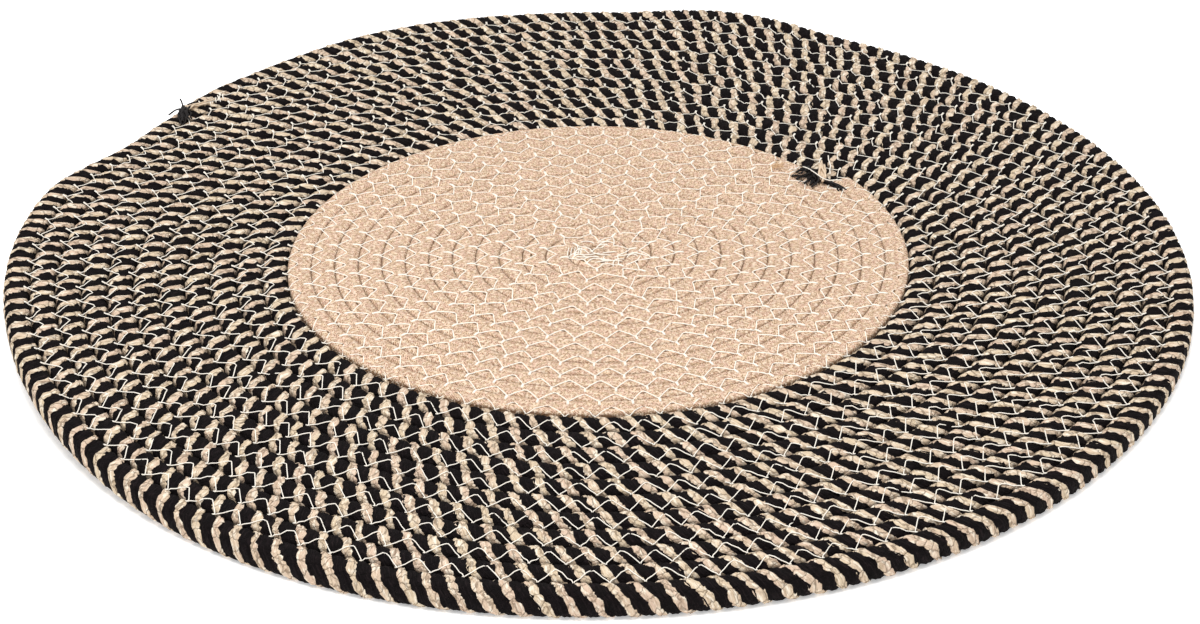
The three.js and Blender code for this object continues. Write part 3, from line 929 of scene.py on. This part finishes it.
# %% Loose threads and fibres at the join
JOIN_THREADS = np.array([  # each thread's places, in radius and azimuth
    [(139.0, 38.4), (139.2, 35.9), (139.3, 31.8), (140.4, 29.8), (145.8, 28.6)],
    [(133.9, 40.5), (136.0, 40.6), (137.8, 40.4), (139.5, 40.2), (140.8, 40.1)],
    [(159.9, 39.6), (156.5, 38.2), (153.2, 36.2), (149.8, 34.9), (146.3, 33.1)],
])
JOIN_THREAD_HEIGHTS = np.array([16.2, 13.6, 14.8])
JOIN_POINTS, JOIN_RIPPLE = 17, 9  # points of each thread, and radians of small waves along it
given = np.arange(JOIN_THREADS.shape[1])
finer = np.linspace(0, given[-1], JOIN_POINTS)
radius = np.stack([np.interp(finer, given, thread[:, 0]) for thread in JOIN_THREADS])
azimuth = np.stack([np.interp(finer, given, thread[:, 1]) for thread in JOIN_THREADS])
height = JOIN_THREAD_HEIGHTS[:, None] + YARN_UNEVEN * np.sin(np.linspace(0, JOIN_RIPPLE, JOIN_POINTS))
bundle("join_threads", radius, azimuth, height, THREAD, **SEWN_IN_ROPE)
tuft(
    "rust_fibres", yarns=7, root=(137.5, 44.2), tip=(132.5, 45.4),
    root_scatter=(1.4, 0.5), tip_scatter=(2.6, 0.9), wave=2.0, heights=(11.9, 13.0),
    thickness=0.32, finish=rust_yarn, sides=3, **IN_CORD,
)

# %% The frayed end of the rope
end_azimuth = END % 360
tuft(
    "end_tuft", yarns=18, root=(286.5, end_azimuth + 1.2), tip=(277.0, end_azimuth + 3.4),
    root_scatter=(1.5, 0.4), tip_scatter=(4.0, 1.3), wave=1.6, heights=(12.0, 14.6),
    thickness=0.8 * taper, finish=black_yarn, **IN_ROPE,
)
tuft(
    "end_natural_yarns", yarns=10, root=(281.5, end_azimuth - 1.4), tip=(285.5, end_azimuth + 1.0),
    root_scatter=(1.2, 0.4), tip_scatter=(2.0, 0.5), wave=1.0, heights=(12.3, 14.2),
    thickness=0.8, finish=natural_yarn, **IN_ROPE,
)
HAIR_ROOT = np.array([287.5, 1.3, 12.0])  # radius, degrees past the end, height
HAIR_TIPS = np.array([(296.2, 0.3, 14.0), (295.1, 2.3, 8.0), (297.0, 2.0, 7.0), (292.5, 2.7, 9.5)])
HAIR_BOW = 1.2
nine = np.linspace(0, 1, 9)  # places along a short thread
hairs = HAIR_ROOT[:, None] + (HAIR_TIPS - HAIR_ROOT)[:, :, None] * nine
height = hairs[:, 2] + HAIR_BOW * np.sin(np.pi * nine)
bundle("end_hairs", hairs[:, 0], end_azimuth + hairs[:, 1], height, 0.9, black_yarn, sides=4, **IN_ROPE)

# %% [markdown]
# A bar tack is a row of short stitches close together, all across the rope. It keeps the end from
# unravelling.


# %% Bar tack
def arch(foot, rise, power):
    """Height of a short stitch: its foot is below the turns' tops, and a sine to a power rises from it."""
    return HEIGHT - foot + rise * np.sin(np.pi * nine) ** power


TACK_STITCHES = 6
TACK_BACK, TACK_PITCH, TACK_SLANT = 1.6, 0.38, 0.8  # degrees
TACK_TURN_CHANCE, TACK_CHANCE = 0.12, 0.5  # how far a stitch is off, in degrees along and in mm across
TACK_RADIUS = 280.5
TACK_LENGTH = (4.5, 6.5)  # at least and at most
one_each = (TACK_STITCHES, 1)
azimuth = end_azimuth - TACK_BACK - TACK_PITCH * np.arange(TACK_STITCHES)[:, None] - TACK_SLANT * nine
azimuth = azimuth + rng.normal(0, TACK_TURN_CHANCE, one_each)
radius = TACK_RADIUS + rng.normal(0, TACK_CHANCE, one_each) + rng.uniform(*TACK_LENGTH, one_each) * nine
bundle("bar_tack", radius, azimuth, arch(foot=0.3, rise=1.1, power=0.6), THREAD, **SEWN_IN_ROPE)

# %% [markdown]
# ### The folded start
# The cord's first stretch is folded back on itself and sewn down in a tangle of thread. Three soft lobes
# stand for the fold. A lobe is an ellipsoid with squarer sections, squeezed by its neighbours.

# %% Lobes in the middle
LOBES = [  # x and y of the middle, direction in degrees, half length and half width
    (-2.6, 2.0, 12, 6.4, 4.3),
    (2.9, -1.6, 8, 7.0, 4.5),
    (1.6, 5.0, -25, 5.8, 3.3),
]
LOBE_RINGS, LOBE_SIDES = 15, 20
LOBE_TIP = 0.98  # the last rings stop short of a point, and a small face closes each end
LOBE_SQUARE = 3.6
LOBE_TALL = 0.99  # a hair lower than the cord
LOBE_BLUNT = (0.7, 0.5)  # powers of the cosine for its width and its height
LOBE_KNIT = (1, 1.3)  # its surface coordinates are its x and y, stretched by this


def lobe(place_x, place_y, direction, half_length, half_width):
    """Points of one lobe in metres, ring by ring. The length goes by the sine of a slope from end to end,
    and the section by low powers of its cosine, which make the ends blunt."""
    slope = LOBE_TIP * np.linspace(np.pi / 2, -np.pi / 2, LOBE_RINGS)[:, None]
    turn = 2 * np.pi * np.arange(LOBE_SIDES) / LOBE_SIDES
    wide, tall = section(np.broadcast_to(turn, (LOBE_RINGS, LOBE_SIDES)), LOBE_SQUARE)
    x = half_length * np.sin(slope) * np.ones(LOBE_SIDES)
    y = half_width * np.cos(slope) ** LOBE_BLUNT[0] * wide
    z = HEIGHT / 2 + LOBE_TALL * HEIGHT / 2 * np.cos(slope) ** LOBE_BLUNT[1] * tall
    aim = np.radians(direction)
    across = place_x + x * np.cos(aim) - y * np.sin(aim) + WINDING_CENTRE[0]
    deep = place_y + x * np.sin(aim) + y * np.cos(aim) + WINDING_CENTRE[1]
    return np.stack([across, deep, z], -1) * MM


lobes = np.stack([lobe(*row) for row in LOBES]).reshape(-1, 3)
lobe_quads, lobe_ends = tube_faces(len(LOBES), LOBE_RINGS, LOBE_SIDES)
lobe_corners = np.concatenate([lobe_quads.ravel(), lobe_ends.ravel()])
lobe_uv = lobes[lobe_corners][:, :2] * LOBE_KNIT
folded_start = make_piece("folded_start", lobes, lobe_quads, lobe_ends, lobe_uv)
belongs(folded_start, cord_jute, "natural_cord", "centre_coil")


# %% Thread tangle
def middle_threads(name, x, y, height, thickness):
    """Threads near the middle, whose x and y count from the middle of the winding."""
    bundle(name, np.hypot(x, y), np.degrees(np.arctan2(y, x)), height, thickness, **SEWN_IN_CORD)


TANGLES = 20
TANGLE_MIDDLE = np.array([6.0, 0.5])
TANGLE_SPREAD = np.array([9.0, 6.5])
TANGLE_REACH = (2.5, 8.0)  # half length, at least and at most
TANGLE_WAY, TANGLE_BEND = 0.5, 2.2  # chance in a thread's direction, in radians, and in its bow
TANGLE_OVER, TANGLE_RISE, TANGLE_DIVE = 0.1, 0.5, 0.9  # height over the turns, arch, and how deep the ends go
TANGLE_POINTS = 13
one_each = (TANGLES, 1)
t = np.linspace(0, 1, TANGLE_POINTS)
middle = rng.normal(0, 1, (2, *one_each)) * TANGLE_SPREAD[:, None, None] + TANGLE_MIDDLE[:, None, None]
reach = rng.uniform(*TANGLE_REACH, one_each) * (2 * t - 1)
way = rng.normal(0, TANGLE_WAY, one_each)
bend = rng.normal(0, TANGLE_BEND, one_each) * np.sin(np.pi * t)
x = middle[0] + reach * np.cos(way) - bend * np.sin(way)
y = middle[1] + reach * np.sin(way) + bend * np.cos(way)
height = HEIGHT + TANGLE_OVER + TANGLE_RISE * np.sin(np.pi * t) - TANGLE_DIVE * np.abs(2 * t - 1) ** 6
middle_threads("thread_tangle", x, y, height, THREAD)

# %% Slanting stitches beside the middle
DARNS = 5
DARN_PLACE = (-12.4, -2.2)
DARN_PITCH, DARN_SLANT, DARN_LENGTH = 1.6, 0.9, 9.3
DARN_CHANCE = (0.15, 0.5)  # how far a stitch is off, across and along
DARN_THIN = 0.8  # in threads
one_each = (DARNS, 1)
x = DARN_PLACE[0] + DARN_PITCH * np.arange(DARNS)[:, None] + rng.normal(0, DARN_CHANCE[0], one_each)
x = x + DARN_SLANT * nine
y = DARN_PLACE[1] + DARN_LENGTH * nine + rng.normal(0, DARN_CHANCE[1], one_each)
middle_threads("darning_stitches", x, y, arch(foot=0.6, rise=1.1, power=0.5), DARN_THIN * THREAD)
